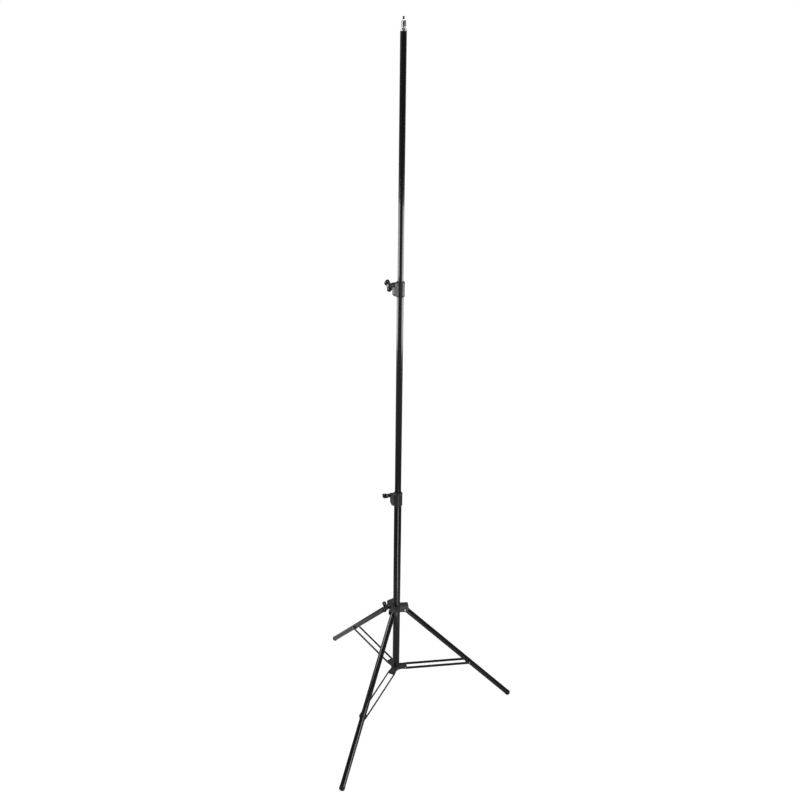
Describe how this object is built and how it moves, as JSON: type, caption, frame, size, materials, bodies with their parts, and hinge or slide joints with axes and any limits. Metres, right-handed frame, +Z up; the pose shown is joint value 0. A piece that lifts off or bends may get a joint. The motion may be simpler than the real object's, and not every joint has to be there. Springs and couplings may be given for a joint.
{
  "type": "light stand",
  "caption": "Folding photographic light stand with a telescoping column, screw clamps, braced tripod legs and a spigot on top.",
  "frame": {"origin": "on the floor under the middle of the footprint", "axes": "+Z up along the column; -Y towards the front leg; +X to the right"},
  "size_m": [0.9032, 0.7855, 2.74],
  "materials": {
    "tube_black": "gloss black enamel over drawn tube",
    "cast_grey": "matt dark grey paint over a die casting",
    "strip_black": "gloss black enamel over flat steel strip",
    "knob_black": "moulded, semi-gloss",
    "moulded_black": "moulded, matt",
    "nylon_pale": "natural nylon",
    "fastener_steel": "zinc plated",
    "spigot_plate": "turned and bright plated",
    "stud_black": "blackened thread",
    "foot_rubber": "matt"
  },
  "bodies": {
    "base": {"base_tube": "tube_black", "base_plug": "nylon_pale", "hub": "cast_grey", "hub_screw": "fastener_steel", "hub_pin_front": "fastener_steel", "hub_pin_right": "fastener_steel", "hub_pin_left": "fastener_steel", "lower_clamp": "cast_grey", "lower_bush": "moulded_black", "lower_pad": "nylon_pale"},
    "lower_clamp_screw": {"lower_knob": "knob_black", "lower_knob_screw": "fastener_steel"},
    "middle_riser": {"middle_tube": "tube_black", "middle_glide": "nylon_pale", "upper_clamp": "cast_grey", "upper_bush": "moulded_black", "upper_pad": "nylon_pale"},
    "upper_clamp_screw": {"upper_knob": "knob_black", "upper_knob_screw": "fastener_steel"},
    "top_riser": {"top_tube": "tube_black", "top_glide": "nylon_pale", "spigot": "spigot_plate", "spigot_stud": "stud_black"},
    "collar": {"leg_collar": "cast_grey", "leg_pin_front": "fastener_steel", "leg_pin_right": "fastener_steel", "leg_pin_left": "fastener_steel", "collar_pad": "nylon_pale"},
    "collar_screw": {"collar_knob": "knob_black", "collar_knob_screw": "fastener_steel"},
    "leg_front": {"leg_tube_front": "tube_black", "leg_insert_front": "moulded_black", "leg_clip_front": "moulded_black", "leg_cross_pin_front": "fastener_steel", "leg_foot_front": "foot_rubber"},
    "leg_right": {"leg_tube_right": "tube_black", "leg_insert_right": "moulded_black", "leg_clip_right": "moulded_black", "leg_cross_pin_right": "fastener_steel", "leg_foot_right": "foot_rubber"},
    "leg_left": {"leg_tube_left": "tube_black", "leg_insert_left": "moulded_black", "leg_clip_left": "moulded_black", "leg_cross_pin_left": "fastener_steel", "leg_foot_left": "foot_rubber"},
    "brace_front": {"brace_strip_a_front": "strip_black", "brace_strip_b_front": "strip_black", "brace_rivet_a_front": "fastener_steel", "brace_rivet_b_front": "fastener_steel"},
    "brace_right": {"brace_strip_a_right": "strip_black", "brace_strip_b_right": "strip_black", "brace_rivet_a_right": "fastener_steel", "brace_rivet_b_right": "fastener_steel"},
    "brace_left": {"brace_strip_a_left": "strip_black", "brace_strip_b_left": "strip_black", "brace_rivet_a_left": "fastener_steel", "brace_rivet_b_left": "fastener_steel"}
  },
  "joints": [
    {"name": "middle_riser_slide", "type": "slide", "parent": "base", "child": "middle_riser", "axis": [0, 0, 1], "range_m": [-0.762, 0]},
    {"name": "top_riser_slide", "type": "slide", "parent": "middle_riser", "child": "top_riser", "axis": [0, 0, 1], "range_m": [-0.785, 0]},
    {"name": "collar_slide", "type": "slide", "parent": "base", "child": "collar", "axis": [0, 0, 1], "range_m": [0, 0.3936]},
    {"name": "leg_front_fold", "type": "hinge", "parent": "collar", "child": "leg_front", "pos_m": [0, 0.09228, 0.50391], "axis": [1, 0, 0], "range_deg": [0, 41.5]},
    {"name": "leg_right_fold", "type": "hinge", "parent": "collar", "child": "leg_right", "pos_m": [0.03031, 0.14478, 0.50391], "axis": [-0.5, 0.866, 0], "range_deg": [0, 41.5]},
    {"name": "leg_left_fold", "type": "hinge", "parent": "collar", "child": "leg_left", "pos_m": [-0.03031, 0.14478, 0.50391], "axis": [-0.5, -0.866, 0], "range_deg": [0, 41.5]},
    {"name": "brace_front_fold", "type": "hinge", "parent": "base", "child": "brace_front", "pos_m": [0, 0.08828, 0.1999], "axis": [-1, 0, 0], "range_deg": [0, 86.6]},
    {"name": "brace_right_fold", "type": "hinge", "parent": "base", "child": "brace_right", "pos_m": [0.03377, 0.14678, 0.1999], "axis": [0.5, -0.866, 0], "range_deg": [0, 86.6]},
    {"name": "brace_left_fold", "type": "hinge", "parent": "base", "child": "brace_left", "pos_m": [-0.03377, 0.14678, 0.1999], "axis": [0.5, 0.866, 0], "range_deg": [0, 86.6]},
    {"name": "lower_clamp_screw_turn", "type": "hinge", "parent": "base", "child": "lower_clamp_screw", "pos_m": [-0.03641, 0.10083, 1.0487], "axis": [-0.809, -0.5878, 0], "range_deg": [0, 720]},
    {"name": "upper_clamp_screw_turn", "type": "hinge", "parent": "middle_riser", "child": "upper_clamp_screw", "pos_m": [-0.02385, 0.08912, 1.8927], "axis": [-0.5299, -0.848, 0], "range_deg": [0, 720]},
    {"name": "collar_screw_turn", "type": "hinge", "parent": "collar", "child": "collar_screw", "pos_m": [-0.03897, 0.10478, 0.51741], "axis": [-0.866, -0.5, 0], "range_deg": [0, 720]}
  ],
  "couplings": [
    {"joint": "leg_front_fold", "follows": "collar_slide", "rad_per_m": 1.8402},
    {"joint": "leg_right_fold", "follows": "collar_slide", "rad_per_m": 1.8402},
    {"joint": "leg_left_fold", "follows": "collar_slide", "rad_per_m": 1.8402},
    {"joint": "brace_front_fold", "follows": "collar_slide", "rad_per_m": 3.8372},
    {"joint": "brace_right_fold", "follows": "collar_slide", "rad_per_m": 3.8372},
    {"joint": "brace_left_fold", "follows": "collar_slide", "rad_per_m": 3.8372}
  ]
}
